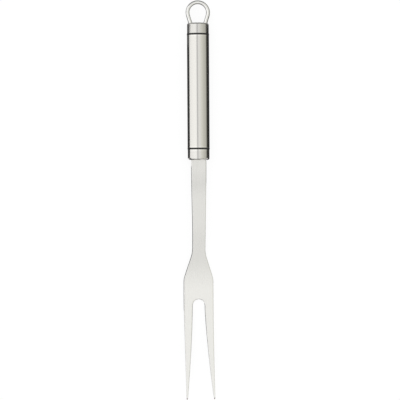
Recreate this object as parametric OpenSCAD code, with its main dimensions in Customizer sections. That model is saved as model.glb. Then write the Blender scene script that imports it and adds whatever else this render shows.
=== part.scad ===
// Carving fork: a pressed steel blade with two curved tines, held by its tang in a hollow
// oval handle. A ferrule and an end cap close the tube, each behind a thin black ring, and
// a bent wire loop stands in the end cap.
// X runs across the fork, Y along it towards the hanging loop, Z up. The fork lies on its
// back, with the tines curving up and the origin under the middle of its length.

/* [Handle] */
// Width of the oval tube, across the fork
handle_w = 18.8; // [17:0.1:24]
// How much lower than wide the tube is
handle_flat = 3.8; // [2:0.1:5]
// Length of the tube between the two rings
tube_l = 96.2; // [80:0.1:120]
// Wall of the tube
tube_wall = 1; // [0.6:0.1:1.4]
// Length along the handle that each black ring takes
ring_l = 1.4; // [0.8:0.1:2.5]
// How far the rings stand proud of the tube
ring_proud = 0.1; // [0:0.05:0.3]
// How much smaller than the tube the ferrule and the cap are, on each side
cap_step = 0.15; // [0:0.05:0.4]
// Rounding of the outer end edge of the ferrule and the cap
cap_corner_r = 1.6; // [1:0.1:2.4]

/* [Ferrule and end cap] */
// Length of the ferrule in front of its ring
ferrule_l = 8.9; // [7:0.1:14]
// Length of the end cap behind its ring
cap_l = 8.9; // [7:0.1:14]
// Length of the spigot that each of them pushes into the tube
spigot_l = 7; // [4:0.5:12]
// Wall left round the hollow of each spigot
spigot_wall = 1.2; // [0.8:0.1:1.6]
// Solid end wall of the ferrule and the cap
end_wall = 4; // [3:0.5:6]

/* [Hanging loop] */
// Diameter of the wire
wire_d = 3.3; // [2.5:0.1:4]
// Radius of the loop, to the middle of the wire
loop_r = 8.8; // [8:0.1:11]
// Height of the loop's centre above the end cap
loop_rise = 9.1; // [8:0.1:12]
// Angle at which the two legs close in towards the cap
leg_lean = 17; // [12:1:22]
// Depth to which the legs go into the cap
leg_depth = 5; // [4:0.5:7]

/* [Shank] */
// Thickness of the blade from the tang to the fork of the tines
blade_t = 2.5; // [2:0.1:3.2]
// Rounding of the blade's long edges
blade_edge_r = 1; // [0.5:0.1:1.2]
// Width of the shank where it leaves the ferrule
shank_w = 13.1; // [12:0.1:14]
// Width of the neck, the narrowest place of the blade
neck_w = 11.4; // [10:0.1:12]
// Distance from the ferrule to the corner where the neck starts to flare
shank_l = 79.6; // [65:0.1:95]
// Rounding of that corner
neck_r = 22; // [12:1:30]
// Width of the tang inside the handle
tang_w = 9; // [7:0.5:10]
// Length of the tang behind the ferrule's face
tang_l = 45; // [25:1:60]

/* [Head and tines] */
// Width of the head
head_w = 25.8; // [23:0.1:30]
// Angle of each flaring side
flare = 18; // [14:1:26]
// Rounding of the shoulder between the flare and the head
shoulder_r = 17; // [8:1:22]
// Length of the head from the shoulder to the end of the slot
head_l = 17.6; // [12:0.1:25]
// Width of the slot at its round end
slot_w = 10.4; // [8:0.1:12]
// Length of the tines from the end of the slot
tine_l = 84.6; // [65:0.1:100]
// Clear width between the two tips
tip_gap = 22.4; // [18:0.1:22.8]
// Width of each tine just behind its point
tip_w = 1.2; // [1:0.1:1.6]
// Thickness of each tine just behind its point
tip_t = 1.2; // [0.9:0.1:1.6]
// Length of the rounded point
point_l = 2; // [1:0.5:4]

/* [Side curve] */
// Straight length of the shank before it bends down
straight_l = 56; // [40:1:64]
// Length of that bend
drop_bend_l = 8; // [4:1:20]
// Angle at which the blade then drops to the head
drop_angle = 8.3; // [4:0.1:10]
// Straight length that follows, before the blade starts to bend up
slope_l = 26; // [15:1:40]
// Length of the bend under the head and the roots of the tines
rise_bend_l = 56; // [30:1:70]
// Angle at which the tines rise
tine_angle = 9.7; // [4:0.1:13]

/* [Clearances] */
// Gap all round between a spigot and the tube or ring on it
fit_gap = 0.05; // [0.03:0.01:0.1]
// Gap all round the tang in the ferrule's slot
slot_gap = 0.1; // [0.05:0.01:0.15]
// Gap round the wire in the cap's holes
wire_gap = 0.04; // [0.02:0.01:0.1]

/* [Hidden] */
$fn = 96;
past = 1;              // cutters reach this far past the faces that they open
steel = "gainsboro";
satin_steel = "silver";
ring_black = [0.06, 0.06, 0.06];

// Sizes that several pieces share
bore_w = handle_w - 2 * tube_wall;
spigot_w = bore_w - 2 * fit_gap;
spigot_bore_w = spigot_w - 2 * spigot_wall;
cap_w = handle_w - 2 * cap_step;
ring_w = handle_w + 2 * ring_proud;

// The oval is four tangent arcs: two at the sides, with their centres side_c out from the
// middle, and two larger ones above and below, with their centres broad_c past the middle.
// Ovals of different widths on the same four centres run parallel to each other.
side_share = 1.75;     // side_c as a share of flat_half, which sets how boxy the oval is
flat_half = handle_flat / 2;
side_c = side_share * flat_half;
broad_c = flat_half * (2 * side_c - flat_half) / (2 * (side_c - flat_half));
arc_gap = norm([side_c, broad_c]);
side_sweep = 2 * atan(broad_c / side_c);

// Stations along the blade, measured from the ferrule's face towards the tips
neck_half = neck_w / 2;
head_half = head_w / 2;
slot_r = slot_w / 2;
shoulder_s = shank_l + (head_half - neck_half) / tan(flare);
neck_start = shank_l - neck_r * tan(flare / 2);
neck_end = neck_start + neck_r * sin(flare);
shoulder_end = shoulder_s + shoulder_r * tan(flare / 2);
shoulder_start = shoulder_end - shoulder_r * sin(flare);
slot_end_s = shoulder_s + head_l;
slot_centre_s = slot_end_s + slot_r;
tip_s = slot_end_s + tine_l;
point_s = tip_s - point_l;
tip_out = tip_gap / 2 + tip_w;

// Places along Y, with the whole fork centred, and the height of the handle's axis
total_l = tip_s + ferrule_l + 2 * ring_l + tube_l + cap_l + loop_rise + loop_r + wire_d / 2;
face_y = tip_s - total_l / 2;
ferrule_y = face_y + ferrule_l;
tube_y = ferrule_y + ring_l;
rear_ring_y = tube_y + tube_l;
cap_y = rear_ring_y + ring_l;
cap_end_y = cap_y + cap_l;
loop_y = cap_end_y + loop_rise;
rise_s = straight_l + drop_bend_l + slope_l;
lowest_s = rise_s + rise_bend_l * tan(drop_angle) / (tan(drop_angle) + tan(tine_angle));
axis_z = max((ring_w - handle_flat) / 2, blade_t / 2 - side_z(lowest_s));

// Ease from 0 to 1 with level ends
function ease(u) = let (c = min(1, max(0, u))) c * c * (3 - 2 * c);
function mix(a, b, u) = a + (b - a) * u;

// Share of the way from the round end of the slot to the tips
function tine_share(s) = min(1, max(0, (s - slot_centre_s) / (tip_s - slot_centre_s)));

// Outer half width of the shank, neck, flare, head and tines
shank_taper = [0.05, 1];     // the part of the shank's length that tapers
outer_power = 2;             // the tines close in sooner than the gap opens
function outer_half(s) =
    s <= neck_start ?
        mix(shank_w / 2, neck_half,
            ease((s / neck_start - shank_taper[0]) / (shank_taper[1] - shank_taper[0])))
    : s <= neck_end ? neck_half + neck_r - sqrt(pow(neck_r, 2) - pow(s - neck_start, 2))
    : s <= shoulder_start ? neck_half + (s - shank_l) * tan(flare)
    : s <= shoulder_end ?
        head_half - shoulder_r + sqrt(pow(shoulder_r, 2) - pow(shoulder_end - s, 2))
    : mix(head_half, tip_out, 1 - pow(1 - tine_share(s), outer_power));

// Half width of the gap between the tines, which opens faster towards the tips
gap_power = 1.45;
function inner_half(s) = mix(slot_r, tip_gap / 2, pow(tine_share(s), gap_power));

// Height of the blade's middle surface above the handle's axis. Each bend is a stretch over
// which the slope changes evenly, so bend() is 0 before it and runs straight after it.
function bend(d, l) = d <= 0 ? 0 : d <= l ? d * d / (2 * l) : d - l / 2;
function side_z(s) =
    (tan(drop_angle) + tan(tine_angle)) * bend(s - rise_s, rise_bend_l)
    - tan(drop_angle) * bend(s - straight_l, drop_bend_l);

function thickness(s) = mix(blade_t, tip_t, tine_share(s));

// The rim of a section, from its top face over the rounded edge to its bottom face.
// Each entry is [distance in from the edge, height above the middle surface].
edge_steps = 4;
rim_n = 2 * (edge_steps + 1);
edge_share = 0.42;     // the edge's rounding is never more than this share of a section
function rim_point(j, t, w) =
    let (r = min(blade_edge_r, edge_share * t, edge_share * w),
         top = j <= edge_steps,
         a = 90 * (top ? edge_steps - j : j - edge_steps - 1) / edge_steps,
         h = t / 2 - r + r * sin(a))
    [r * (1 - cos(a)), top ? h : -h];

// A point of the blade from its distance across and along
function blade_point(x, s, h) = [x, face_y - s, axis_z + side_z(s) + h];

// Sections of the tang, shank and head: [station, half width]
tang_nose = 2;         // the tang's end narrows by this much on each side
stop_step = 0.2;       // the shank widens over this length, just outside the ferrule
shank_steps = 15;
flare_steps = 14;
head_steps = 4;
head_last = slot_end_s - 2 * blade_edge_r;
body_stations = concat(
    [for (i = [0 : shank_steps - 1]) neck_start * i / shank_steps],
    [for (i = [0 : flare_steps - 1]) mix(neck_start, shoulder_end, i / flare_steps)],
    [for (i = [0 : head_steps]) mix(shoulder_end, head_last, i / head_steps)]);
body_sections = concat(
    [[-tang_l, tang_w / 2 - tang_nose], [tang_nose - tang_l, tang_w / 2], [0, tang_w / 2]],
    [for (s = body_stations) [max(s, stop_step), outer_half(s)]],
    [[slot_end_s, outer_half(slot_end_s)]]);
apex = len(body_sections) - 1;

// Sections of one tine: [station, gap edge, direction in from the gap edge, outer edge]
arc_steps = 8;
tine_steps = 18;
point_steps = 4;
point_end = 0.25;      // the point ends at this share of the tine's section
function tine_section(s, shrink) =
    let (a = inner_half(s), b = outer_half(s), m = (a + b) / 2)
    [s, mix(m, a, shrink), [1, 0], mix(m, b, shrink), shrink];
tine_sections = concat(
    [for (i = [1 : arc_steps])
        let (f = 90 * i / arc_steps, s = slot_centre_s - slot_r * cos(f))
        [s, slot_r * sin(f), [sin(f), -cos(f)], outer_half(s), 1]],
    [for (i = [1 : tine_steps]) tine_section(mix(slot_centre_s, point_s, i / tine_steps), 1)],
    [for (i = [1 : point_steps])
        let (u = i / point_steps)
        tine_section(mix(point_s, tip_s, u), max(point_end, sqrt(1 - u * u)))]);

// Ring of points round a body section: top middle, right rim, bottom middle, left rim.
// At the slot's end the middle points lie back from the slot by the edge's rounding.
function body_ring(i) =
    let (s = body_sections[i][0], w = body_sections[i][1], t = thickness(s),
         mid_s = i == apex ? s - rim_point(0, t, w)[0] : s)
    concat(
        [blade_point(0, mid_s, t / 2)],
        [for (j = [0 : rim_n - 1]) let (p = rim_point(j, t, w)) blade_point(w - p[0], s, p[1])],
        [blade_point(0, mid_s, -t / 2)],
        [for (j = [rim_n - 1 : -1 : 0])
            let (p = rim_point(j, t, w)) blade_point(p[0] - w, s, p[1])]);

// The rounded edge at the very end of the slot, between the two middle points
function apex_edge() =
    let (s = slot_end_s, t = thickness(s))
    [for (j = [1 : rim_n - 2])
        let (p = rim_point(j, t, head_half)) blade_point(0, s - p[0], p[1])];

// Closed loop of points round one tine: outer rim down, then gap rim up
function tine_loop(i, side) =
    let (q = tine_sections[i], s = q[0], t = thickness(s) * q[4], w = q[3] - q[1])
    concat(
        [for (j = [0 : rim_n - 1])
            let (p = rim_point(j, t, w)) blade_point(side * (q[3] - p[0]), s, p[1])],
        [for (j = [rim_n - 1 : -1 : 0])
            let (p = rim_point(j, t, w))
            blade_point(side * (q[1] + q[2][0] * p[0]), s + q[2][1] * p[0], p[1])]);

// Where each point stands in the list of all the blade's points
ring_n = 2 * rim_n + 2;
loop_n = 2 * rim_n;
edge_base = ring_n * len(body_sections);
tine_base = edge_base + rim_n - 2;
function tine_ids(i, side) =
    [for (j = [0 : loop_n - 1]) tine_base + (2 * i + (side > 0 ? 0 : 1)) * loop_n + j];
function apex_ids(side) = concat(
    [for (j = [0 : rim_n - 1]) apex * ring_n + (side > 0 ? 1 + j : ring_n - 1 - j)],
    [apex * ring_n + rim_n + 1],
    [for (j = [rim_n - 2 : -1 : 1]) edge_base + j - 1],
    [apex * ring_n]);

// Numbers of the points of loop i, and triangles between two loops or over the end of one
function ids_of(i, n) = [for (k = [0 : n - 1]) i * n + k];
function turned(f, flip) = flip ? [f[0], f[2], f[1]] : f;
function strip(a, b, flip) =
    [for (j = [0 : len(a) - 1], k = [0, 1])
        let (n = (j + 1) % len(a))
        turned(k == 0 ? [a[j], b[j], b[n]] : [a[j], b[n], a[n]], flip)];
function lid(a, flip) = [for (j = [1 : len(a) - 2]) turned([a[0], a[j], a[j + 1]], flip)];

module fork_blade() {
    points = concat(
        [for (i = [0 : apex]) each body_ring(i)],
        apex_edge(),
        [for (i = [0 : len(tine_sections) - 1], side = [1, -1]) each tine_loop(i, side)]);
    last = len(tine_sections) - 1;
    faces = concat(
        lid(ids_of(0, ring_n), true),
        [for (i = [0 : apex - 1]) each strip(ids_of(i, ring_n), ids_of(i + 1, ring_n), true)],
        [for (side = [1, -1]) each concat(
            strip(apex_ids(side), tine_ids(0, side), side > 0),
            [for (i = [0 : last - 1])
                each strip(tine_ids(i, side), tine_ids(i + 1, side), side > 0)],
            lid(tine_ids(last, side), side < 0))]);
    color(satin_steel) polyhedron(points, faces, convexity = 6);
}

// Puts a piece that is drawn standing on Z onto the handle's axis, at a place along Y
module on_axis(y) {
    translate([0, y, axis_z]) rotate([-90, 0, 0]) children();
}

// Points of an oval of width w. Each faces outwards along its own angle, and lies on the
// side arc or the broad arc that faces that way.
oval_sides = 72;
function oval_points(w) =
    [for (k = [0 : oval_sides - 1])
        let (a = 360 * k / oval_sides,
             on_side = abs(cos(a)) > cos(side_sweep / 2),
             centre = on_side ? [sign(cos(a)) * side_c, 0] : [0, -sign(sin(a)) * broad_c],
             r = w / 2 - side_c + (on_side ? 0 : arc_gap))
        centre + r * [cos(a), sin(a)]];

module oval(w) {
    polygon(oval_points(w));
}

// Body of the ferrule or the cap, standing on Z with its upper end edge rounded. It is a
// stack of ovals, each given as [height, distance in from the full width].
corner_steps = 5;
module cap_body(l) {
    c = cap_corner_r;
    stack = concat(
        [[0, 0]],
        [for (i = [0 : corner_steps])
            let (a = 90 * i / corner_steps) [l - c + c * sin(a), c * (1 - cos(a))]]);
    last = len(stack) - 1;
    polyhedron(
        [for (q = stack, p = oval_points(cap_w - 2 * q[1])) [p[0], p[1], q[0]]],
        concat(lid(ids_of(0, oval_sides), false),
               [for (i = [0 : last - 1])
                   each strip(ids_of(i, oval_sides), ids_of(i + 1, oval_sides), false)],
               lid(ids_of(last, oval_sides), true)),
        convexity = 2);
}

// Ferrule or cap, standing on its shoulder with the spigot below it. The spigot is hollow
// as far up as the end wall.
module spigot_plug(l) {
    foot_l = ring_l + spigot_l;
    difference() {
        union() {
            cap_body(l);
            translate([0, 0, -foot_l]) linear_extrude(foot_l + l / 2) oval(spigot_w);
        }
        translate([0, 0, -foot_l - past])
            linear_extrude(foot_l + past + l - end_wall) oval(spigot_bore_w);
    }
}

// Slot with round ends for the tang
module tang_slot(l) {
    w = tang_w + 2 * slot_gap;
    t = blade_t + 2 * slot_gap;
    linear_extrude(l) {
        square([w - t, t], center = true);
        for (side = [-1, 1]) translate([side * (w - t) / 2, 0]) circle(d = t);
    }
}

module front_ferrule() {
    color(steel) on_axis(ferrule_y) mirror([0, 0, 1]) difference() {
        spigot_plug(ferrule_l);
        translate([0, 0, ferrule_l - end_wall - past]) tang_slot(end_wall + 2 * past);
    }
}

module end_cap() {
    color(steel) difference() {
        on_axis(cap_y) spigot_plug(cap_l);
        for (side = [0, 1]) mirror([side, 0, 0])
            translate([leg_top[0], loop_y + leg_top[1], axis_z]) rotate([90, 0, -leg_lean])
                cylinder(d = wire_d + 2 * wire_gap, h = leg_l + past);
    }
}

module spacer_ring(y) {
    color(ring_black) on_axis(y) linear_extrude(ring_l) difference() {
        oval(ring_w);
        oval(bore_w);
    }
}

module front_ring() {
    spacer_ring(ferrule_y);
}

module rear_ring() {
    spacer_ring(rear_ring_y);
}

module handle_tube() {
    color(satin_steel) on_axis(tube_y) linear_extrude(tube_l) difference() {
        oval(handle_w);
        oval(bore_w);
    }
}

// The straight legs run on from both ends of the loop's round part
leg_top = [loop_r * cos(leg_lean), -loop_r * sin(leg_lean)];
leg_l = (loop_rise + leg_depth + leg_top[1]) / cos(leg_lean);
leg_foot = leg_top - leg_l * [sin(leg_lean), cos(leg_lean)];

// Middle of the wire from one leg's foot to the other's: [x, y, angle of the loop's outside]
bend_steps = 36;
wire_sides = 24;
wire_path = concat(
    [[leg_foot[0], leg_foot[1], -leg_lean]],
    [for (i = [0 : bend_steps])
        let (a = -leg_lean + (180 + 2 * leg_lean) * i / bend_steps)
        [loop_r * cos(a), loop_r * sin(a), a]],
    [[-leg_foot[0], leg_foot[1], 180 + leg_lean]]);
function wire_ring(p) =
    [for (k = [0 : wire_sides - 1])
        let (b = 360 * k / wire_sides, out = wire_d / 2 * cos(b))
        [p[0] + out * cos(p[2]), loop_y + p[1] + out * sin(p[2]), axis_z + wire_d / 2 * sin(b)]];

module hanging_loop() {
    last = len(wire_path) - 1;
    color(steel) polyhedron(
        [for (p = wire_path) each wire_ring(p)],
        concat(lid(ids_of(0, wire_sides), false),
               [for (i = [0 : last - 1])
                   each strip(ids_of(i, wire_sides), ids_of(i + 1, wire_sides), false)],
               lid(ids_of(last, wire_sides), true)),
        convexity = 4);
}

fork_blade();
front_ferrule();
front_ring();
handle_tube();
rear_ring();
end_cap();
hanging_loop();
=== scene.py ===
import bpy
import bmesh
import math
from mathutils import Matrix, Vector


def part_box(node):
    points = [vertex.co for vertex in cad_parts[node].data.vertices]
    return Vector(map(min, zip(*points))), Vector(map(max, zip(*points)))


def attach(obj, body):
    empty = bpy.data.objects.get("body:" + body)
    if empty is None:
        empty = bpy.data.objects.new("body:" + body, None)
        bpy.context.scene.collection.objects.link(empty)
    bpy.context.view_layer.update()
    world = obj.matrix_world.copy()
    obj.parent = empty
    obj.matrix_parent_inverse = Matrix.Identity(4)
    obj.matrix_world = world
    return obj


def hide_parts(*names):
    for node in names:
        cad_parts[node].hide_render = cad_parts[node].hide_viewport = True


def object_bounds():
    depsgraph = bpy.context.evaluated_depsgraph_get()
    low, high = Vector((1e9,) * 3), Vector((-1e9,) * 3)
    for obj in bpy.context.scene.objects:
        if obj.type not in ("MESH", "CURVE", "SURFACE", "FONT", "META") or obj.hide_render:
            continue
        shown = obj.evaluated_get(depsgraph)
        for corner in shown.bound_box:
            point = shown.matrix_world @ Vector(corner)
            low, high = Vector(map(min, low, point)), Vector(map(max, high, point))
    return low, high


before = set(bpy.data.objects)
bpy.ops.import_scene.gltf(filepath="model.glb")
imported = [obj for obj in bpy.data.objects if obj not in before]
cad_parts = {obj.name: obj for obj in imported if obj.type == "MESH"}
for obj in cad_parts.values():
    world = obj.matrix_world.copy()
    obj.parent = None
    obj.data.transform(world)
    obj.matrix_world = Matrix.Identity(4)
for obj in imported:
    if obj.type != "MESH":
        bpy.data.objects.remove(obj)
cadLow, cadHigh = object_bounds()

# Settings are in millimetres and degrees, where no note says otherwise
mm = 0.001
touching = 0.02 * mm      # levels closer than this are the same level
samePoint = 0.01 * mm     # points closer than this are the same point
print("frame loaded:", ", ".join(sorted(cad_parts)))

# Places that come from the frame
ferruleLow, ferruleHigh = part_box("front_ferrule")
frontRingLow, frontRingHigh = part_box("front_ring")
tubeLow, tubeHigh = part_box("handle_tube")
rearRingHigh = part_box("rear_ring")[1]
capLow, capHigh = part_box("end_cap")
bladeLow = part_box("fork_blade")[0]
axisZ = (tubeLow.z + tubeHigh.z) / 2    # the handle's axis
faceY = ferruleLow.y                    # the blade comes out of the ferrule here
capEndY = capHigh.y                     # the wire comes out of the end cap here


# Hand tools

def clearSelection():
    bpy.ops.object.select_all(action="DESELECT")


def makeActive(obj):
    clearSelection()
    obj.select_set(True)
    bpy.context.view_layer.objects.active = obj


def startEdit(obj, kind="VERT"):
    makeActive(obj)
    bpy.ops.object.mode_set(mode="EDIT")
    bpy.ops.mesh.select_mode(type=kind)


def endEdit():
    bpy.ops.object.mode_set(mode="OBJECT")


def pick(obj, kind, test):
    # selects the vertices, the edges with both ends or the faces, by middle and normal, that
    # pass the test
    bpy.ops.mesh.select_mode(type=kind)
    bpy.ops.mesh.select_all(action="DESELECT")
    bm = bmesh.from_edit_mesh(obj.data)
    if kind == "VERT":
        for v in bm.verts:
            v.select = bool(test(v.co))
    elif kind == "EDGE":
        for e in bm.edges:
            e.select = all(test(v.co) for v in e.verts)
    else:
        for f in bm.faces:
            f.select = bool(test(f.calc_center_median(), f.normal))
    bm.select_flush_mode()
    bmesh.update_edit_mesh(obj.data)


def near(a, b):
    return abs(a - b) < touching


def applyPlace(obj):
    makeActive(obj)
    bpy.ops.object.transform_apply(location=True, rotation=True, scale=True)


def addModifier(obj, kind, **values):
    makeActive(obj)
    mod = obj.modifiers.new(kind.title(), kind)
    for key, value in values.items():
        setattr(mod, key, value)
    bpy.ops.object.modifier_apply(modifier=mod.name)


def cutWith(obj, cutter):
    addModifier(obj, "BOOLEAN", operation="DIFFERENCE", solver="EXACT", object=cutter)
    bpy.data.objects.remove(cutter)


def finishPiece(obj, node, material, smoothAngle):
    # smooths the faces that meet at less than smoothAngle, or all of them where it is None
    makeActive(obj)
    if smoothAngle is None:
        bpy.ops.object.shade_smooth()
    else:
        bpy.ops.object.shade_smooth_by_angle(angle=math.radians(smoothAngle))
        # the broad faces set the normals, so that an edge's rounding shades only itself
        addModifier(obj, "WEIGHTED_NORMAL", weight=50, keep_sharp=True)
    obj.data.materials.clear()
    obj.data.materials.append(material)
    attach(obj, "root")
    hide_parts(node)
    print("made", obj.name, "with", len(obj.data.polygons), "faces")


# Node tools

def addNode(tree, kind, x, y, **values):
    node = tree.nodes.new(kind)
    node.location = (x, y)
    for key, value in values.items():
        if hasattr(node, key):
            setattr(node, key, value)
        else:
            node.inputs[key].default_value = value
    return node


def join(tree, source, target):
    tree.links.new(source, target)


def mathNode(tree, x, y, operation, a, b=None, c=None):
    node = addNode(tree, "ShaderNodeMath", x, y, operation=operation)
    for index, value in enumerate((a, b, c)):
        if value is None:
            continue
        if isinstance(value, (int, float)):
            node.inputs[index].default_value = value
        else:
            join(tree, value, node.inputs[index])
    return node.outputs[0]


def newGroup(name, inputs, outputs):
    tree = bpy.data.node_groups.new(name, "ShaderNodeTree")
    for label, kind, value in inputs:
        socket = tree.interface.new_socket(name=label, in_out="INPUT", socket_type=kind)
        if value is not None:
            socket.default_value = value
    for label, kind in outputs:
        tree.interface.new_socket(name=label, in_out="OUTPUT", socket_type=kind)
    start = addNode(tree, "NodeGroupInput", -1200, 0)
    end = addNode(tree, "NodeGroupOutput", 900, 0)
    return tree, start, end


# Brushed grain: fine lines along the fork that fade in and out, so that none runs the whole way
grainForm = {"fineDetail": 3.0, "fineRoughness": 0.6, "fineShare": 0.6,
             "wideScale": 0.23, "wideDetail": 1.0, "wideRoughness": 0.5, "wideShare": 0.4}


def makeGrainGroup():
    tree, start, end = newGroup(
        "brushedGrain",
        [("Line Width", "NodeSocketFloat", 0.00012), ("Line Length", "NodeSocketFloat", 0.02)],
        [("Shade", "NodeSocketFloat"), ("Height", "NodeSocketFloat")])
    coords = addNode(tree, "ShaderNodeTexCoord", -1200, -250)
    across = mathNode(tree, -1000, 100, "DIVIDE", 1.0, start.outputs["Line Width"])
    along = mathNode(tree, -1000, -60, "DIVIDE", 1.0, start.outputs["Line Length"])
    scale = addNode(tree, "ShaderNodeCombineXYZ", -800, 0)
    join(tree, across, scale.inputs["X"])
    join(tree, along, scale.inputs["Y"])
    join(tree, across, scale.inputs["Z"])
    stretched = addNode(tree, "ShaderNodeVectorMath", -600, 0, operation="MULTIPLY")
    join(tree, coords.outputs["Object"], stretched.inputs[0])
    join(tree, scale.outputs[0], stretched.inputs[1])
    fine = addNode(tree, "ShaderNodeTexNoise", -400, 120, Scale=1.0,
                   Detail=grainForm["fineDetail"], Roughness=grainForm["fineRoughness"])
    wide = addNode(tree, "ShaderNodeTexNoise", -400, -160, Scale=grainForm["wideScale"],
                   Detail=grainForm["wideDetail"], Roughness=grainForm["wideRoughness"])
    join(tree, stretched.outputs[0], fine.inputs["Vector"])
    join(tree, stretched.outputs[0], wide.inputs["Vector"])
    finePart = mathNode(tree, -180, 220, "MULTIPLY", fine.outputs["Fac"], grainForm["fineShare"])
    both = mathNode(tree, 0, 60, "MULTIPLY_ADD", wide.outputs["Fac"], grainForm["wideShare"],
                    finePart)
    join(tree, mathNode(tree, 200, 60, "SUBTRACT", both, 0.5), end.inputs["Shade"])
    join(tree, fine.outputs["Fac"], end.inputs["Height"])
    return tree


# Handling: soft smears, and short fine scratches in a few patches
handlingForm = {"smearDetail": 4.0, "smearRoughness": 0.55, "smearDistortion": 0.6,
                "scratchTurn": 14, "scratchScale": (2200.0, 50.0, 2200.0), "scratchCut": 0.71,
                "patchScale": 55.0, "patchDetail": 1.0, "patchCut": 0.52}


def makeHandlingGroup():
    tree, start, end = newGroup(
        "handlingMarks",
        [("Smear Size", "NodeSocketFloat", 0.012), ("Scratches", "NodeSocketFloat", 1.0)],
        [("Smears", "NodeSocketFloat"), ("Scratch Depth", "NodeSocketFloat")])
    coords = addNode(tree, "ShaderNodeTexCoord", -1200, -250)
    size = mathNode(tree, -1000, 80, "DIVIDE", 1.0, start.outputs["Smear Size"])
    smears = addNode(tree, "ShaderNodeTexNoise", -700, 120, Detail=handlingForm["smearDetail"],
                     Roughness=handlingForm["smearRoughness"],
                     Distortion=handlingForm["smearDistortion"])
    join(tree, coords.outputs["Object"], smears.inputs["Vector"])
    join(tree, size, smears.inputs["Scale"])
    turned = addNode(tree, "ShaderNodeMapping", -900, -250)
    turned.inputs["Rotation"].default_value = (0.0, 0.0, math.radians(handlingForm["scratchTurn"]))
    turned.inputs["Scale"].default_value = handlingForm["scratchScale"]
    join(tree, coords.outputs["Object"], turned.inputs["Vector"])
    fine = addNode(tree, "ShaderNodeTexNoise", -700, -250, Scale=1.0, Detail=0.0)
    join(tree, turned.outputs[0], fine.inputs["Vector"])
    patchy = addNode(tree, "ShaderNodeTexNoise", -700, -480, Scale=handlingForm["patchScale"],
                     Detail=handlingForm["patchDetail"])
    join(tree, coords.outputs["Object"], patchy.inputs["Vector"])
    narrow = mathNode(tree, -450, -250, "GREATER_THAN", fine.outputs["Fac"],
                      handlingForm["scratchCut"])
    where = mathNode(tree, -450, -480, "GREATER_THAN", patchy.outputs["Fac"],
                     handlingForm["patchCut"])
    mask = mathNode(tree, -200, -300, "MULTIPLY", narrow, where)
    join(tree, mathNode(tree, 0, -300, "MULTIPLY", mask, start.outputs["Scratches"]),
         end.inputs["Scratch Depth"])
    join(tree, mathNode(tree, -200, 120, "SUBTRACT", smears.outputs["Fac"], 0.5),
         end.inputs["Smears"])
    return tree


# Painted light band: 1 between two places along the fork, with soft ends, where the colour is
# painted lighter or darker to stand for light and shade
def makePaintedLightBandGroup():
    tree, start, end = newGroup(
        "paintedLightBand",
        [("From", "NodeSocketFloat", 0.0), ("To", "NodeSocketFloat", 0.01),
         ("Softness", "NodeSocketFloat", 0.001)],
        [("Mask", "NodeSocketFloat")])
    coords = addNode(tree, "ShaderNodeTexCoord", -1200, -250)
    split = addNode(tree, "ShaderNodeSeparateXYZ", -1000, -250)
    join(tree, coords.outputs["Object"], split.inputs[0])
    place = split.outputs["Y"]
    soft = start.outputs["Softness"]
    rise = mathNode(tree, -700, 120, "SUBTRACT", place, start.outputs["From"])
    fall = mathNode(tree, -700, -120, "SUBTRACT", start.outputs["To"], place)
    masks = []
    for y, distance in ((120, rise), (-120, fall)):
        share = mathNode(tree, -500, y, "DIVIDE", distance, soft)
        shifted = mathNode(tree, -300, y, "ADD", share, 0.5)
        shifted.node.use_clamp = True
        masks.append(shifted)
    join(tree, mathNode(tree, -60, 0, "MULTIPLY", *masks), end.inputs["Mask"])
    return tree


grainGroup = makeGrainGroup()
handlingGroup = makeHandlingGroup()
paintedLightBandGroup = makePaintedLightBandGroup()
print("shader groups made")


def placeGroup(tree, group, x, y, **values):
    node = tree.nodes.new("ShaderNodeGroup")
    node.node_tree = group
    node.location = (x, y)
    for key, value in values.items():
        node.inputs[key].default_value = value
    return node


# Steel finishes. Their bands are painted light and shade in the colour: a band is (from y, to y,
# softness, how much lighter or darker it is), with its first three in metres.
steelFinishes = {
    "bladeSteel": {
        "colour": (0.865, 0.858, 0.835), "roughness": 0.24, "grain": 0.13, "lineWidth": 0.16,
        "lineLength": 14, "bump": 0.12, "smear": 0.06, "scratches": 0.02,
        # painted light and shade: the tips' cut ends painted dark, the tines lighter where they
        # curve up, the shank and neck darker
        "paintedLightBands": [(bladeLow.y - 5 * mm, bladeLow.y + 1.4 * mm, 0.6 * mm, -0.6),    # tips
                  (bladeLow.y - 5 * mm, faceY - 100 * mm, 22 * mm, 0.12),          # tines
                  (faceY - 27 * mm, faceY - 14 * mm, 12 * mm, -0.07),              # shank
                  (faceY - 92 * mm, faceY - 60 * mm, 16 * mm, -0.04)],             # neck
    },
    "tubeSteel": {
        "colour": (0.80, 0.785, 0.75), "roughness": 0.12, "grain": 0.10, "lineWidth": 0.12,
        "lineLength": 25, "bump": 0.04, "smear": 0.05, "scratches": 0.02,
        # painted highlights: both ends of the tube painted lighter beside the rings, where their
        # rounded edges catch light
        "paintedLightBands": [(tubeLow.y - 5 * mm, tubeLow.y + 1.3 * mm, 0.8 * mm, 0.10),      # front end
                  (tubeHigh.y - 1.3 * mm, tubeHigh.y + 5 * mm, 0.8 * mm, 0.10)],   # rear end
    },
    "capSteel": {
        "colour": (0.74, 0.728, 0.70), "roughness": 0.15, "grain": 0.09, "lineWidth": 0.14,
        "lineLength": 10, "bump": 0.05, "smear": 0.05, "scratches": 0.02,
        # painted light: the ferrule painted lighter, most of all beside the front ring
        "paintedLightBands": [(frontRingLow.y - 1.5 * mm, frontRingHigh.y, 0.8 * mm, 0.09),    # at the ring
                  (faceY - 5 * mm, frontRingHigh.y, 0.8 * mm, 0.06)],              # ferrule
    },
    "wireSteel": {
        "colour": (0.93, 0.925, 0.905), "roughness": 0.20, "grain": 0.04, "lineWidth": 0.15,
        "lineLength": 6, "bump": 0.03, "smear": 0.03, "scratches": 0.01,
        "paintedLightBands": [],
    },
}
# how far the grain and the scratches change the roughness of every steel, and their bump
steelMix = {"grainGloss": 0.05, "scratchGloss": 2.0, "bumpDepth": 0.02}


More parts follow.
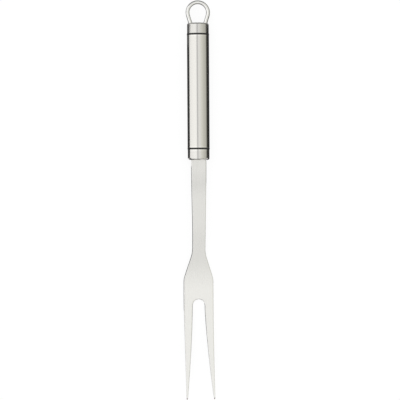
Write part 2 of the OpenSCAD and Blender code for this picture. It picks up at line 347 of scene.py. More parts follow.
def makeSteel(name):
    finish = steelFinishes[name]
    material = bpy.data.materials.new(name)
    material.use_nodes = True
    tree = material.node_tree
    shader = tree.nodes["Principled BSDF"]
    shader.inputs["Metallic"].default_value = 1.0
    grain = placeGroup(tree, grainGroup, -900, 100, **{
        "Line Width": finish["lineWidth"] * mm, "Line Length": finish["lineLength"] * mm})
    marks = placeGroup(tree, handlingGroup, -900, -200, Scratches=finish["scratches"])
    scratched = marks.outputs["Scratch Depth"]
    level = mathNode(tree, -650, 200, "MULTIPLY_ADD", grain.outputs["Shade"], finish["grain"], 1.0)
    # each band paints light or shade into the colour: lighter where its gain is above 0, darker
    # below
    for index, (low, high, soft, gain) in enumerate(finish["paintedLightBands"]):
        band = placeGroup(tree, paintedLightBandGroup, -900, 400 + 200 * index,
                          From=low, To=high, Softness=soft)
        lift = mathNode(tree, -650, 400 + 200 * index, "MULTIPLY_ADD", band.outputs["Mask"],
                        gain, 1.0)
        level = mathNode(tree, -450, 300 + 150 * index, "MULTIPLY", level, lift)
    level = mathNode(tree, -250, 200, "SUBTRACT", level, scratched)
    colour = addNode(tree, "ShaderNodeVectorMath", -60, 200, operation="SCALE")
    colour.inputs[0].default_value = finish["colour"]
    join(tree, level, colour.inputs["Scale"])
    join(tree, colour.outputs[0], shader.inputs["Base Color"])
    gloss = mathNode(tree, -450, -150, "MULTIPLY_ADD", marks.outputs["Smears"],
                     finish["smear"], finish["roughness"])
    gloss = mathNode(tree, -250, -150, "MULTIPLY_ADD", grain.outputs["Shade"],
                     steelMix["grainGloss"], gloss)
    gloss = mathNode(tree, -60, -150, "MULTIPLY_ADD", scratched, steelMix["scratchGloss"], gloss)
    join(tree, gloss, shader.inputs["Roughness"])
    bump = addNode(tree, "ShaderNodeBump", -60, -350, Strength=finish["bump"],
                   Distance=steelMix["bumpDepth"] * mm)
    join(tree, grain.outputs["Height"], bump.inputs["Height"])
    join(tree, bump.outputs[0], shader.inputs["Normal"])
    return material


# Black rings: moulded plastic with a fine matt texture and soft smears from handling
ringFinish = {"colour": (0.020, 0.020, 0.019), "roughness": 0.55, "specular": 0.35,
              "textureSize": 0.25, "textureDetail": 2.0, "shadeLow": 0.75, "shadeRange": 0.5,
              "smear": 0.2, "bump": 0.15, "bumpDepth": 0.03}


def makeRingPlastic():
    material = bpy.data.materials.new("ringPlastic")
    material.use_nodes = True
    tree = material.node_tree
    shader = tree.nodes["Principled BSDF"]
    shader.inputs["Specular IOR Level"].default_value = ringFinish["specular"]
    coords = addNode(tree, "ShaderNodeTexCoord", -1000, 0)
    texture = addNode(tree, "ShaderNodeTexNoise", -800, 0,
                      Scale=1 / (ringFinish["textureSize"] * mm),
                      Detail=ringFinish["textureDetail"])
    join(tree, coords.outputs["Object"], texture.inputs["Vector"])
    marks = placeGroup(tree, handlingGroup, -800, -300)
    level = mathNode(tree, -500, 150, "MULTIPLY_ADD", texture.outputs["Fac"],
                     ringFinish["shadeRange"], ringFinish["shadeLow"])
    colour = addNode(tree, "ShaderNodeVectorMath", -250, 150, operation="SCALE")
    colour.inputs[0].default_value = ringFinish["colour"]
    join(tree, level, colour.inputs["Scale"])
    join(tree, colour.outputs[0], shader.inputs["Base Color"])
    join(tree, mathNode(tree, -250, -150, "MULTIPLY_ADD", marks.outputs["Smears"],
                        ringFinish["smear"], ringFinish["roughness"]), shader.inputs["Roughness"])
    bump = addNode(tree, "ShaderNodeBump", -250, -350, Strength=ringFinish["bump"],
                   Distance=ringFinish["bumpDepth"] * mm)
    join(tree, texture.outputs["Fac"], bump.inputs["Height"])
    join(tree, bump.outputs[0], shader.inputs["Normal"])
    return material


bladeSteel = makeSteel("bladeSteel")
tubeSteel = makeSteel("tubeSteel")
capSteel = makeSteel("capSteel")
wireSteel = makeSteel("wireSteel")
ringPlastic = makeRingPlastic()
print("materials made")


# Oval section: four arcs that run into each other, two narrow ones at the sides and two
# broad ones above and below. sideShare sets how far out the side arcs have their centres.
ovalForm = {"sides": 144, "sideShare": 1.75}
handleEdges = {"breakSteps": 3, "breakAngle": 50, "smoothAngle": 35}


def ovalArcs(width, height):
    flatHalf = (width - height) / 2
    sideOut = ovalForm["sideShare"] * flatHalf
    broadDown = flatHalf * (2 * sideOut - flatHalf) / (2 * (sideOut - flatHalf))
    sideRadius = width / 2 - sideOut
    broadRadius = sideRadius + math.hypot(sideOut, broadDown)
    turn = math.atan2(broadDown, sideOut)     # where a side arc ends, seen from its centre
    return sideOut, broadDown, sideRadius, broadRadius, turn


def addOval(name, width, height, lowY, highY, ends):
    sideOut, broadDown, sideRadius, broadRadius, turn = ovalArcs(width, height)
    clearSelection()
    bpy.ops.mesh.primitive_cylinder_add(
        vertices=ovalForm["sides"], radius=sideRadius, depth=highY - lowY,
        end_fill_type=ends, location=(0, (lowY + highY) / 2, axisZ),
        rotation=(math.pi / 2, 0, 0))
    obj = bpy.context.object
    obj.name = name
    obj.data.name = name
    applyPlace(obj)
    startEdit(obj)
    edge = sideRadius * math.cos(turn)     # the side arcs lie outside this x
    for side in (1, -1):
        pick(obj, "VERT", lambda p: side * p.x > edge)
        bpy.ops.transform.translate(value=(side * sideOut, 0, 0))
    for side in (1, -1):
        pick(obj, "VERT", lambda p: abs(p.x) <= edge and side * (p.z - axisZ) > 0)
        stretch = broadRadius / sideRadius
        bpy.ops.transform.resize(value=(stretch, 1, stretch), center_override=(0, 0, axisZ))
        bpy.ops.transform.translate(value=(0, 0, -side * broadDown))
    endEdit()
    return obj


def breakEdges(obj, width):
    addModifier(obj, "BEVEL", width=width * mm, segments=handleEdges["breakSteps"],
                limit_method="ANGLE", angle_limit=math.radians(handleEdges["breakAngle"]))


# Handle tube: a drawn oval tube with lightly broken end edges
tubeForm = {"wall": 1.0, "edgeBreak": 0.12}


def makeTube():
    size = tubeHigh - tubeLow
    obj = addOval("handleTube", size.x, size.z, tubeLow.y, tubeHigh.y, "NOTHING")
    addModifier(obj, "SOLIDIFY", thickness=tubeForm["wall"] * mm, offset=-1.0,
                use_even_offset=True)
    breakEdges(obj, tubeForm["edgeBreak"])
    finishPiece(obj, "handle_tube", tubeSteel, handleEdges["smoothAngle"])


# Black rings between the tube and its two ends
ringForm = {"edgeRound": 0.2}


def makeRing(name, node):
    low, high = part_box(node)
    size = high - low
    obj = addOval(name, size.x, size.z, low.y, high.y, "NOTHING")
    wall = (size.x - (tubeHigh.x - tubeLow.x)) / 2 + tubeForm["wall"] * mm
    addModifier(obj, "SOLIDIFY", thickness=wall, offset=-1.0, use_even_offset=True)
    breakEdges(obj, ringForm["edgeRound"])
    finishPiece(obj, node, ringPlastic, handleEdges["smoothAngle"])


# Ferrule and end cap: the body with one rounded end, and behind it the hollow spigot that
# pushes into the tube
capForm = {"cornerRound": 1.6, "cornerSteps": 8, "shoulderBreak": 0.1, "shoulderSteps": 2,
           "spigotGap": 0.05, "spigotWall": 1.2, "endWall": 4.0, "rimSlack": 0.05}


def makeCapBody(name, node, outY, ringY, deepY):
    # outY is the rounded end, ringY the face on the ring and deepY the spigot's end
    low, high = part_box(node)
    obj = addOval(name, high.x - low.x, high.z - low.z, min(outY, ringY), max(outY, ringY), "NGON")
    inward = 1 if deepY > ringY else -1
    bore = (tubeHigh.x - tubeLow.x) / 2 - tubeForm["wall"] * mm
    spigot = bore - capForm["spigotGap"] * mm
    startEdit(obj, "FACE")
    pick(obj, "FACE", lambda p, n: near(p.y, ringY))
    bpy.ops.mesh.inset(thickness=(high.x - low.x) / 2 - spigot)
    bpy.ops.mesh.extrude_region_move(TRANSFORM_OT_translate={"value": (0, deepY - ringY, 0)})
    bpy.ops.mesh.inset(thickness=capForm["spigotWall"] * mm)
    floorY = outY + inward * capForm["endWall"] * mm
    bpy.ops.mesh.extrude_region_move(TRANSFORM_OT_translate={"value": (0, floorY - deepY, 0)})
    pick(obj, "EDGE", lambda p: near(p.y, outY))
    bpy.ops.mesh.bevel(offset=capForm["cornerRound"] * mm, segments=capForm["cornerSteps"],
                       affect="EDGES")
    rim = (high.x - low.x) / 2 - capForm["rimSlack"] * mm
    pick(obj, "EDGE", lambda p: near(p.y, ringY) and ovalReach(p) > rim)
    bpy.ops.mesh.bevel(offset=capForm["shoulderBreak"] * mm, segments=capForm["shoulderSteps"],
                       affect="EDGES")
    endEdit()
    return obj


def ovalReach(p):
    # half the width of the oval, on the handle's own four arcs, that a point lies on
    size = tubeHigh - tubeLow
    sideOut, broadDown, sideRadius, broadRadius, turn = ovalArcs(size.x, size.z)
    x, z = abs(p.x), abs(p.z - axisZ)
    fromSide = math.atan2(z, x - sideOut)
    if fromSide <= turn:
        return sideOut + math.hypot(x - sideOut, z)
    return math.hypot(x, z + broadDown) - (broadRadius - sideRadius) + sideOut


# Slot in the ferrule that the tang passes through. endRound is a share of its height.
tangSlotForm = {"width": 9.2, "height": 2.7, "cutLength": 12.0, "endRound": 0.49, "roundSteps": 6}


def makeFerrule():
    obj = makeCapBody("frontFerrule", "front_ferrule", faceY, frontRingLow.y, ferruleHigh.y)
    clearSelection()
    bpy.ops.mesh.primitive_cube_add(size=1, location=(0, faceY, axisZ), scale=(
        tangSlotForm["width"] * mm, tangSlotForm["cutLength"] * mm, tangSlotForm["height"] * mm))
    cutter = bpy.context.object
    applyPlace(cutter)
    startEdit(cutter, "EDGE")
    bm = bmesh.from_edit_mesh(cutter.data)
    for e in bm.edges:
        a, b = e.verts[0].co, e.verts[1].co
        e.select = near(a.x, b.x) and near(a.z, b.z)    # the four edges along the fork
    bmesh.update_edit_mesh(cutter.data)
    bpy.ops.mesh.bevel(offset=tangSlotForm["endRound"] * tangSlotForm["height"] * mm,
                       segments=tangSlotForm["roundSteps"], affect="EDGES")
    endEdit()
    cutWith(obj, cutter)
    finishPiece(obj, "front_ferrule", capSteel, handleEdges["smoothAngle"])


# Hanging loop: round wire, spun round the loop and run straight on into the cap at both ends
wireForm = {"wire": 3.3, "radius": 8.8, "rise": 9.1, "lean": 17, "depth": 5.0, "sides": 32,
            "bendSteps": 72, "smoothAngle": 50, "holeGap": 0.04, "holeSides": 48,
            "holeDeeper": 1.2}
loopMiddle = Vector((0, capEndY + wireForm["rise"] * mm, axisZ))
leanAngle = math.radians(wireForm["lean"])
legTop = Vector((wireForm["radius"] * mm * math.cos(leanAngle),
                 -wireForm["radius"] * mm * math.sin(leanAngle), 0))
legRun = ((wireForm["rise"] + wireForm["depth"]) * mm + legTop.y) / math.cos(leanAngle)
legDown = Vector((-math.sin(leanAngle), -math.cos(leanAngle), 0)) * legRun


def makeEndCap():
    obj = makeCapBody("endCap", "end_cap", capEndY, rearRingHigh.y, capLow.y)
    for side in (1, -1):
        top = loopMiddle + Vector((side * legTop.x, legTop.y, 0))
        down = Vector((side * legDown.x, legDown.y, 0))
        reach = down.normalized() * wireForm["holeDeeper"] * mm
        clearSelection()
        bpy.ops.mesh.primitive_cylinder_add(
            vertices=wireForm["holeSides"],
            radius=(wireForm["wire"] / 2 + wireForm["holeGap"]) * mm,
            depth=(down + reach).length, location=top + (down + reach) / 2,
            rotation=(-math.pi / 2, 0, -side * leanAngle))
        cutter = bpy.context.object
        applyPlace(cutter)
        cutWith(obj, cutter)
    finishPiece(obj, "end_cap", capSteel, handleEdges["smoothAngle"])


def makeLoop():
    clearSelection()
    bpy.ops.mesh.primitive_circle_add(
        vertices=wireForm["sides"], radius=wireForm["wire"] / 2 * mm, fill_type="NOTHING",
        location=loopMiddle + legTop, rotation=(math.pi / 2, 0, -leanAngle))
    obj = bpy.context.object
    obj.name = "hangingLoop"
    obj.data.name = "hangingLoop"
    applyPlace(obj)
    startEdit(obj)
    bpy.ops.mesh.select_all(action="SELECT")
    bpy.ops.mesh.spin(steps=wireForm["bendSteps"], angle=math.pi + 2 * leanAngle,
                      center=loopMiddle, axis=(0, 0, -1))
    for side in (1, -1):
        end = loopMiddle + Vector((side * legTop.x, legTop.y, 0))
        down = Vector((side * legDown.x, legDown.y, 0))
        facing = down.normalized()
        pick(obj, "VERT", lambda p: abs((p - end).dot(facing)) < touching
             and (p - end).length < wireForm["wire"] * mm)
        bpy.ops.mesh.extrude_region_move(TRANSFORM_OT_translate={"value": down})
        bpy.ops.mesh.edge_face_add()
    bpy.ops.mesh.select_all(action="SELECT")
    bpy.ops.mesh.normals_make_consistent(inside=False)
    endEdit()
    finishPiece(obj, "hanging_loop", wireSteel, wireForm["smoothAngle"])


makeTube()
makeRing("frontRing", "front_ring")
makeRing("rearRing", "rear_ring")
makeFerrule()
makeEndCap()
makeLoop()


# Blade. Distances run from the ferrule's face towards the tips.
bladeForm = {
    # tang, shank and neck
    "thickness": 2.5, "tangWidth": 9.0, "tangLength": 45.0, "tangNose": 2.0,
    "shankWidth": 13.1, "neckWidth": 11.4, "neckAt": 79.6, "neckRound": 22.0,
    "taperFrom": 0.05, "taperTo": 1.0,      # shares of the way to the neck
    # head and tines
    "headWidth": 25.8, "flareAngle": 18.0, "shoulderRound": 17.0, "headLength": 17.6,
    "slotWidth": 10.4, "tineLength": 84.6, "tipGap": 22.4, "tipWidth": 1.2,
    "tipThickness": 1.2, "pointLength": 2.0, "outerPower": 2.0, "gapPower": 1.45,
    # side curve
    "straight": 56.0, "dropBend": 8.0, "dropAngle": 8.3, "riseFrom": 90.0, "riseBend": 56.0,
    "tineAngle": 9.7,
    # strip beside each long edge that its rounding takes, and how blunt the points stay
    "edgeLand": 0.95, "edgeShare": 0.3, "pointEnd": 0.12,
    # rows of the mesh
    "slotSteps": 8, "headSteps": 2, "flareSteps": 18, "neckSteps": 10, "shankSteps": 9,
    "shankEnd": 4.0, "faceStations": [1.4, 0.5, 0.14], "tangStations": [0.08, -0.5, -6.0],
    "noseStart": 2.0, "tineSteps": 22, "pointStations": [0.35, 0.65, 0.85, 0.97, 0.998],
    "mirrorMerge": 0.01, "smoothLevels": 2,
}
flareSlope = math.tan(math.radians(bladeForm["flareAngle"]))
neckHalf = bladeForm["neckWidth"] / 2
headHalf = bladeForm["headWidth"] / 2
slotRadius = bladeForm["slotWidth"] / 2
shoulderAt = bladeForm["neckAt"] + (headHalf - neckHalf) / flareSlope
halfTurn = math.tan(math.radians(bladeForm["flareAngle"] / 2))
flareSine = math.sin(math.radians(bladeForm["flareAngle"]))
neckStart = bladeForm["neckAt"] - bladeForm["neckRound"] * halfTurn
neckEnd = neckStart + bladeForm["neckRound"] * flareSine
shoulderEnd = shoulderAt + bladeForm["shoulderRound"] * halfTurn
shoulderStart = shoulderEnd - bladeForm["shoulderRound"] * flareSine
slotEnd = shoulderAt + bladeForm["headLength"]
slotMiddle = slotEnd + slotRadius
tipAt = slotEnd + bladeForm["tineLength"]
pointAt = tipAt - bladeForm["pointLength"]


def mix(a, b, share):
    return a + (b - a) * share


def ease(share):
    share = min(1.0, max(0.0, share))
    return share * share * (3 - 2 * share)


def tineShare(s):
    return min(1.0, max(0.0, (s - slotMiddle) / (tipAt - slotMiddle)))


def outerHalf(s):
    if s <= neckStart:
        span = bladeForm["taperTo"] - bladeForm["taperFrom"]
        return mix(bladeForm["shankWidth"] / 2, neckHalf,
                   ease((s / neckStart - bladeForm["taperFrom"]) / span))
    if s <= neckEnd:
        r = bladeForm["neckRound"]
        return neckHalf + r - math.sqrt(r * r - (s - neckStart) ** 2)
    if s <= shoulderStart:
        return neckHalf + (s - bladeForm["neckAt"]) * flareSlope
    if s <= shoulderEnd:
        r = bladeForm["shoulderRound"]
        return headHalf - r + math.sqrt(r * r - (shoulderEnd - s) ** 2)
    tipOut = bladeForm["tipGap"] / 2 + bladeForm["tipWidth"]
    return mix(headHalf, tipOut, 1 - (1 - tineShare(s)) ** bladeForm["outerPower"])


def innerHalf(s):
    return mix(slotRadius, bladeForm["tipGap"] / 2, tineShare(s) ** bladeForm["gapPower"])


def bend(distance, length):
    if distance <= 0:
        return 0.0
    return distance ** 2 / (2 * length) if distance <= length else distance - length / 2


def sideHeight(s):
    drop = math.tan(math.radians(bladeForm["dropAngle"]))
    rise = math.tan(math.radians(bladeForm["tineAngle"]))
    return ((drop + rise) * bend(s - bladeForm["riseFrom"], bladeForm["riseBend"])
            - drop * bend(s - bladeForm["straight"], bladeForm["dropBend"]))


def pointShrink(s):
    # the last stretch of each tine closes to a round point
    if s <= pointAt:
        return 1.0
    left = math.sqrt(max(0.0, 1 - ((s - pointAt) / bladeForm["pointLength"]) ** 2))
    return max(bladeForm["pointEnd"], left)


def bladePoint(x, s):
    return Vector((x * mm, faceY - s * mm, axisZ + sideHeight(s) * mm))


def moveTo(obj, fromPoints, toPoints):
    # moves each vertex that lies at one of fromPoints to its place in toPoints
    for old, new in zip(fromPoints, toPoints):
        if (new - old).length < samePoint / 100:
            continue
        pick(obj, "VERT", lambda p: (p - old).length < samePoint)
        bpy.ops.transform.translate(value=new - old)


def pullRow(obj, row, newRow):
    # extrudes the row of vertices one station on and sets it to its new width and height
    pick(obj, "VERT", lambda p: any((p - q).length < samePoint for q in row))
    step = newRow[0] - row[0]
    bpy.ops.mesh.extrude_region_move(TRANSFORM_OT_translate={"value": step})
    moveTo(obj, [q + step for q in row], newRow)
    return newRow


def spread(a, b, steps):
    # stations after a up to b
    return [mix(a, b, i / steps) for i in range(1, steps + 1)]


def landOf(width):
    return min(bladeForm["edgeLand"], bladeForm["edgeShare"] * width)


def bodyRow(s, half, turns):
    # a row across the shank or head from the middle to the outer edge
    inside = half - landOf(half)
    return [bladePoint(inside * math.tan(t), s) for t in turns] + [bladePoint(half, s)]


def tineRow(s):
    # a row across one tine, from the gap to the outer edge
    inner, outer = innerHalf(s), outerHalf(s)
    land = landOf(outer - inner)
    middle = (inner + outer) / 2
    places = (inner, inner + land, outer - land, outer)
    return [bladePoint(mix(middle, x, pointShrink(s)), s) for x in places]


def makeBlade():
    # one half of the sheet is laid out flat on its own middle surface, starting at the rim
    # of the slot, then mirrored, given its thickness and rounded
    steps = bladeForm["slotSteps"]
    clearSelection()
    bpy.ops.mesh.primitive_circle_add(
        vertices=4 * steps, radius=slotRadius * mm, fill_type="NOTHING",
        location=bladePoint(0, slotMiddle))
    obj = bpy.context.object
    obj.name = "forkBlade"
    obj.data.name = "forkBlade"
    applyPlace(obj)
    startEdit(obj)
    middle = bladePoint(0, slotMiddle)
    slack = samePoint / 10
    pick(obj, "VERT", lambda p: p.x < -slack or p.y < middle.y - slack)
    bpy.ops.mesh.delete(type="VERT")

    # rings round the slot's end: its rim, the strip beside the rim, then a square
    turns = [math.pi / 2 * k / steps for k in range(steps + 1)]

    def ringRow(r):
        return [bladePoint(r * math.sin(t), slotMiddle - r * math.cos(t)) for t in turns]

    rim = ringRow(slotRadius)
    flat = [Vector((p.x, p.y, middle.z)) for p in rim]
    moveTo(obj, flat, rim)
    strip = pullRow(obj, rim, ringRow(slotRadius + bladeForm["edgeLand"]))
    corner = headHalf - bladeForm["edgeLand"]
    headRow = slotMiddle - corner
    square = []
    for k, t in enumerate(turns):
        if 2 * k <= steps:
            square.append(bladePoint(corner * math.tan(t), headRow))
        else:
            s = slotMiddle - corner * math.tan(math.pi / 2 - t)
            square.append(bladePoint(outerHalf(s) - bladeForm["edgeLand"], s))
    square = pullRow(obj, strip, square)
    side = square[steps // 2:]
    edge = [p + Vector((bladeForm["edgeLand"] * mm, 0, 0)) for p in side]
    pullRow(obj, side, edge)

    # head, flare, neck and shank, then the tang inside the ferrule
    row = square[:steps // 2 + 1] + [edge[0]]
    across = turns[:steps // 2 + 1]
    stations = (spread(headRow, shoulderEnd, bladeForm["headSteps"])
                + spread(shoulderEnd, neckStart, bladeForm["flareSteps"])
                + spread(neckStart, bladeForm["straight"], bladeForm["neckSteps"])
                + spread(bladeForm["straight"], bladeForm["shankEnd"], bladeForm["shankSteps"])
                + bladeForm["faceStations"])
    for s in stations:
        row = pullRow(obj, row, bodyRow(s, outerHalf(max(s, 0)), across))
    tangHalf = bladeForm["tangWidth"] / 2
    noseAt = -bladeForm["tangLength"]
    noseStart = noseAt + bladeForm["tangNose"] + bladeForm["noseStart"]
    for s in bladeForm["tangStations"] + [noseAt / 2, noseStart]:
        row = pullRow(obj, row, bodyRow(s, tangHalf, across))
    row = pullRow(obj, row, bodyRow(noseAt, tangHalf - bladeForm["tangNose"], across))

    # the tine, to its point
    row = [rim[-1], strip[-1], square[-1], edge[-1]]
    stations = spread(slotMiddle, pointAt, bladeForm["tineSteps"])
    stations += [mix(pointAt, tipAt, share) for share in bladeForm["pointStations"]]
    for s in stations:
        row = pullRow(obj, row, tineRow(s))
    endEdit()

    # each vertex's share of the full thickness
    group = obj.vertex_groups.new(name="thickness")
    for v in obj.data.vertices:
        s = (faceY - v.co.y) / mm
        thick = mix(bladeForm["thickness"], bladeForm["tipThickness"], tineShare(s))
        group.add([v.index], thick * pointShrink(s) / bladeForm["thickness"], "REPLACE")
    addModifier(obj, "MIRROR", use_axis=(True, False, False), use_clip=True,
                merge_threshold=bladeForm["mirrorMerge"] * mm)
    addModifier(obj, "SOLIDIFY", thickness=bladeForm["thickness"] * mm, offset=0.0,
                use_even_offset=True, vertex_group="thickness", thickness_vertex_group=0.0)
    startEdit(obj)
    bpy.ops.mesh.select_all(action="SELECT")
    bpy.ops.mesh.normals_make_consistent(inside=False)
    endEdit()
    addModifier(obj, "SUBSURF", levels=bladeForm["smoothLevels"],
                render_levels=bladeForm["smoothLevels"])
    finishPiece(obj, "fork_blade", bladeSteel, None)


makeBlade()


# Stage: pale floor, and round the fork what only its reflections see: cards just above the
# floor that are painted shade in the reflections, upright walls that paint dark reflections,
# and over all a half cylinder of cloth with a grey strip along it.
# Lengths are in metres, but floorDrop is in millimetres.
stageForm = {
    "floorSize": 12.0, "floorDrop": 0.06, "shadowShare": 0.12,
    "tentRadius": 1.3, "tentLength": 5.0, "tentSides": 128, "tentLevel": 1.1,
}
# walls, painted dark reflections that only reflections see: name, the place that it stands on,
# width, height, its turn about Z in degrees, and how bright it is
darkReflectionWalls = [
    ("tipEnd", (0.0, -1.25), 2.6, 0.7, 0, 0.15),
    ("loopEnd", (0.0, 1.25), 2.6, 1.1, 0, 0.2),
    ("bladeWall", (-0.30, -0.06), 0.10, 0.09, 90, 0.0),
    ("headWall", (-0.30, -0.0975), 0.025, 0.16, 90, 0.0),
    ("tipWall", (0.0, -0.30), 0.10, 0.14, 0, 0.0),
    ("loopWall", (-0.30, 0.202), 0.056, 0.08, 90, 0.3),
]
# cards, painted shade on the floor that only reflections see: name, left and right side, front and
# back end, and how bright it is
paintedShadeCards = [
    ("handleLeftCard", -0.45, 0.0, faceY, capLow.y, 0.05),
    ("handleRightCard", 0.0, 1.25, frontRingLow.y, capEndY + 5 * mm, 0.03),
    ("ferruleCard", 0.0085, 1.25, faceY - 20 * mm, frontRingLow.y, 0.04),
    ("capLeftCard", -0.45, 0.0, capLow.y, capEndY + 5 * mm, 0.12),
    ("bladeCard", -0.45, -0.005, -0.095, faceY - 5 * mm, 0.0),
    ("tineCard", -0.45, -0.013, -0.30, -0.095, 0.5),
    ("slotCard", -0.008, 0.006, -0.17, -0.0895, 0.0),
    ("gapCard", 0.006, 0.0085, -0.17, -0.125, 0.0),
    ("loopCard", -0.45, 0.12, capEndY + 5 * mm, 0.60, 0.33),
    ("loopRightCard", 0.12, 1.25, capEndY + 5 * mm, 0.60, 0.05),
    ("tipCard", 0.002, 0.05, -0.60, bladeLow.y - 1 * mm, 0.0),
]
# the tent's cloth: direction from straight up towards +X, in degrees, and its colour there
tentCloth = [
    (-90, (0.89, 0.89, 0.885)), (-68, (0.95, 0.95, 0.94)), (-40, (1.0, 1.0, 0.99)),
    (-21, (1.0, 1.0, 0.99)), (-16, (0.74, 0.74, 0.74)), (-11, (0.47, 0.47, 0.475)),
    (-7, (0.56, 0.56, 0.56)), (-2, (0.80, 0.80, 0.795)), (10, (0.80, 0.80, 0.785)),
    (28, (0.70, 0.70, 0.65)), (50, (0.565, 0.565, 0.515)), (68, (0.485, 0.485, 0.44)),
    (75, (0.44, 0.44, 0.42)), (80, (0.12, 0.12, 0.10)), (90, (0.02, 0.02, 0.012)),
]


def onlyInReflections(obj):
    obj.visible_camera = False
    obj.visible_diffuse = False
    obj.visible_transmission = False
    obj.visible_shadow = False
    obj.visible_volume_scatter = False


def seenByEye(tree, x, y):
    # 1 for what the camera sees, also in a reflection or through glass
    path = addNode(tree, "ShaderNodeLightPath", x, y)
    first = mathNode(tree, x + 200, y, "MAXIMUM", path.outputs["Is Camera Ray"],
                     path.outputs["Is Glossy Ray"])
    return mathNode(tree, x + 400, y, "MAXIMUM", first, path.outputs["Is Transmission Ray"])


def stagePlane(name, left, right, front, back, z):
    clearSelection()
    bpy.ops.mesh.primitive_plane_add(size=1, location=((left + right) / 2, (front + back) / 2, z))
    obj = bpy.context.object
    obj.name = name
    obj.scale = (right - left, back - front, 1)
    applyPlace(obj)
    return obj


def stageMaterial(name):
    material = bpy.data.materials.new(name)
    material.use_nodes = True
    tree = material.node_tree
    tree.nodes.clear()
    out = addNode(tree, "ShaderNodeOutputMaterial", 600, 0)
    return material, tree, out


def makeFloor():
    # plain white to the eye, but for the share that takes light and the fork's shadow
    half = stageForm["floorSize"] / 2
    floor = stagePlane("floor", -half, half, -half, half, cadLow.z - stageForm["floorDrop"] * mm)
    material, tree, out = stageMaterial("paleFloor")
    paint = addNode(tree, "ShaderNodeBsdfDiffuse", 0, -120, Color=(1, 1, 1, 1))
    white = addNode(tree, "ShaderNodeEmission", 0, 120, Color=(1, 1, 1, 1), Strength=1.0)
    blend = addNode(tree, "ShaderNodeMixShader", 300, 0)
    share = mathNode(tree, -100, 300, "MULTIPLY", seenByEye(tree, -700, 300),
                     1 - stageForm["shadowShare"])
    join(tree, share, blend.inputs[0])
    join(tree, paint.outputs[0], blend.inputs[1])
    join(tree, white.outputs[0], blend.inputs[2])
    join(tree, blend.outputs[0], out.inputs["Surface"])
    floor.data.materials.append(material)


def coverWithPaintedShade(obj, materialName, level):
    # a flat grey glow that only reflections see: painted shade and dark reflections in the metal
    material, tree, out = stageMaterial(materialName)
    grey = addNode(tree, "ShaderNodeEmission", 0, 0, Color=(level, level, level, 1))
    join(tree, grey.outputs[0], out.inputs["Surface"])
    obj.data.materials.append(material)
    onlyInReflections(obj)


def makePaintedShadeCard(name, left, right, front, back, level):
    card = stagePlane(name, left, right, front, back, cadLow.z - stageForm["floorDrop"] * mm / 2)
    coverWithPaintedShade(card, name + "PaintedShade", level)


def makeDarkReflectionWall(name, place, width, height, turn, level):
    clearSelection()
    bpy.ops.mesh.primitive_plane_add(
        size=1, location=(*place, height / 2), rotation=(math.pi / 2, 0, math.radians(turn)))
    wall = bpy.context.object
    wall.name = name
    wall.scale = (width, height, 1)
    applyPlace(wall)
    coverWithPaintedShade(wall, name + "Cloth", level)


def makeTent():
    clearSelection()
    bpy.ops.mesh.primitive_cylinder_add(
        vertices=stageForm["tentSides"], radius=stageForm["tentRadius"],
        depth=stageForm["tentLength"], end_fill_type="NOTHING", location=(0, 0, 0),
        rotation=(math.pi / 2, 0, 0))
    tent = bpy.context.object
    tent.name = "lightTent"
    applyPlace(tent)
    startEdit(tent)
    pick(tent, "VERT", lambda p: p.z < -touching)
    bpy.ops.mesh.delete(type="VERT")
    endEdit()
    material, tree, out = stageMaterial("tentCloth")
    coords = addNode(tree, "ShaderNodeTexCoord", -900, 0)
    split = addNode(tree, "ShaderNodeSeparateXYZ", -700, 0)
    join(tree, coords.outputs["Object"], split.inputs[0])
    angle = mathNode(tree, -500, 0, "ARCTAN2", split.outputs["X"], split.outputs["Z"])
    share = mathNode(tree, -300, 0, "MULTIPLY_ADD", angle, 1 / math.pi, 0.5)
    ramp = addNode(tree, "ShaderNodeValToRGB", -100, 0)
    marks = ramp.color_ramp.elements
    while len(marks) < len(tentCloth):
        marks.new(0.5)      # each gets its place below
    for mark, (degrees, colour) in zip(marks, tentCloth):
        mark.position = degrees / 180 + 0.5
        mark.color = (*colour, 1)
    cloth = addNode(tree, "ShaderNodeEmission", 300, 0, Strength=stageForm["tentLevel"])
    join(tree, share, ramp.inputs[0])
    join(tree, ramp.outputs[0], cloth.inputs["Color"])
    join(tree, cloth.outputs[0], out.inputs["Surface"])
    tent.data.materials.append(material)
    onlyInReflections(tent)


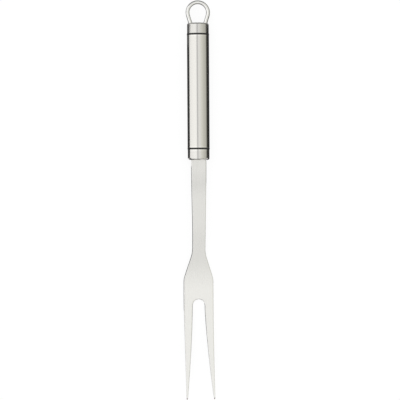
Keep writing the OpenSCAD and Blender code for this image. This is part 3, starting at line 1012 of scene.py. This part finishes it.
def makeWorld():
    world = bpy.data.worlds.new("studio")
    bpy.context.scene.world = world
    world.use_nodes = True
    tree = world.node_tree
    tree.nodes.clear()
    out = addNode(tree, "ShaderNodeOutputWorld", 600, 0)
    white = addNode(tree, "ShaderNodeBackground", 300, 0, Color=(1, 1, 1, 1), Strength=1.0)
    join(tree, white.outputs[0], out.inputs["Surface"])


# Soft lamp above the tent, aimed at the middle of the fork, in metres and watts. Reflections
# don't show it.
lampForm = {"place": (-0.5, 0.4, 1.4), "size": 1.2, "energy": 4.0}


def makeLamp():
    bpy.ops.object.light_add(type="AREA", location=lampForm["place"])
    lamp = bpy.context.object
    lamp.name = "softLamp"
    lamp.rotation_euler = (Vector((0, 0, 0)) - lamp.location).to_track_quat("-Z", "Y").to_euler()
    lamp.data.size = lampForm["size"]
    lamp.data.energy = lampForm["energy"]
    lamp.visible_glossy = False


# Camera: above the fork and a little to its left, turned slightly, so that the fork leans in
# the picture. The distance and the clip limits are in metres, the angles in degrees and the
# rest in millimetres.
cameraForm = {"distance": 1.43, "lean": 7.0, "turn": 0.344, "lens": 150.7, "sensor": 36,
              "aimY": -0.4, "aimRight": 0.925, "clipStart": 0.01, "clipEnd": 50}


def makeCamera():
    lean = math.radians(cameraForm["lean"])
    turn = math.radians(cameraForm["turn"])
    back = Vector((-math.sin(lean), 0, math.cos(lean)))
    level = Vector((math.cos(lean), 0, math.sin(lean)))
    along = Vector((0, 1, 0))
    right = level * math.cos(turn) - along * math.sin(turn)
    up = level * math.sin(turn) + along * math.cos(turn)
    aim = Vector((0, cameraForm["aimY"] * mm, axisZ)) + right * cameraForm["aimRight"] * mm
    data = bpy.data.cameras.new("camera")
    data.sensor_width = cameraForm["sensor"]
    data.lens = cameraForm["lens"]
    data.clip_start = cameraForm["clipStart"]
    data.clip_end = cameraForm["clipEnd"]
    camera = bpy.data.objects.new("camera", data)
    bpy.context.scene.collection.objects.link(camera)
    spin = Matrix((right, up, back)).transposed().to_4x4()
    camera.matrix_world = Matrix.Translation(aim + back * cameraForm["distance"]) @ spin
    bpy.context.scene.camera = camera


makeFloor()
for card in paintedShadeCards:
    makePaintedShadeCard(*card)
makeTent()
for wall in darkReflectionWalls:
    makeDarkReflectionWall(*wall)
makeWorld()
makeLamp()
makeCamera()
bpy.context.scene.view_settings.view_transform = "Standard"
print("stage, light and camera made")
